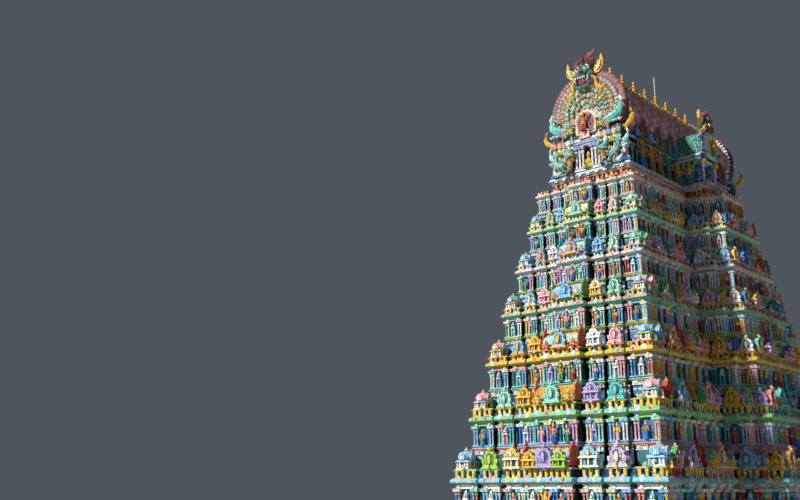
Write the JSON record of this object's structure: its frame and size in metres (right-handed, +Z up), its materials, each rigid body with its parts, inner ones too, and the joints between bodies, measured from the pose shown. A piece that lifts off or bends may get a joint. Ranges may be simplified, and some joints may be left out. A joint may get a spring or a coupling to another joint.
{
  "type": "temple gateway tower (gopuram), 1:2 scale model",
  "caption": "Nine-storey painted gopuram at 1:2: granite gate house with a passage, stepped storeys with cornices and shrine parapets, barrel roof with gables and finials.",
  "frame": {"origin": "centre of the tower's footprint at ground level", "axes": "+Z up, X along the broad faces, Y along the gate passage, with the front at -Y"},
  "size_m": [18.4528, 11.8272, 25.75],
  "materials": {
    "granite": "rough",
    "wall_stucco": "painted matte",
    "cornice_stucco": "painted matte",
    "parapet_stucco": "painted matte",
    "gable_stucco": "painted matte",
    "roof_tile": "satin",
    "dormer_tile": "satin",
    "brass": "polished"
  },
  "bodies": {
    "root": {"gate_house_west": "granite", "gate_house_east": "granite", "gate_ceiling": "granite", "gate_cornice": "granite", "gate_parapet": "parapet_stucco", "storey_1_wall": "wall_stucco", "storey_1_cornice": "cornice_stucco", "storey_1_parapet": "parapet_stucco", "storey_2_wall": "wall_stucco", "storey_2_cornice": "cornice_stucco", "storey_2_parapet": "parapet_stucco", "storey_3_wall": "wall_stucco", "storey_3_cornice": "cornice_stucco", "storey_3_parapet": "parapet_stucco", "storey_4_wall": "wall_stucco", "storey_4_cornice": "cornice_stucco", "storey_4_parapet": "parapet_stucco", "storey_5_wall": "wall_stucco", "storey_5_cornice": "cornice_stucco", "storey_5_parapet": "parapet_stucco", "storey_6_wall": "wall_stucco", "storey_6_cornice": "cornice_stucco", "storey_6_parapet": "parapet_stucco", "storey_7_wall": "wall_stucco", "storey_7_cornice": "cornice_stucco", "storey_7_parapet": "parapet_stucco", "storey_8_wall": "wall_stucco", "storey_8_cornice": "cornice_stucco", "storey_8_parapet": "parapet_stucco", "storey_9_wall": "wall_stucco", "storey_9_cornice": "cornice_stucco", "crown_kerb": "parapet_stucco", "crown_platform": "cornice_stucco", "crown_neck": "wall_stucco", "crown_roof": "roof_tile", "gable_west": "gable_stucco", "gable_east": "gable_stucco", "dormer_front": "dormer_tile", "dormer_back": "dormer_tile", "finial_1": "brass", "finial_2": "brass", "finial_3": "brass", "finial_4": "brass", "finial_5": "brass", "finial_6": "brass", "finial_7": "brass", "finial_8": "brass", "finial_9": "brass", "lightning_rod": "brass"}
  },
  "joints": []
}
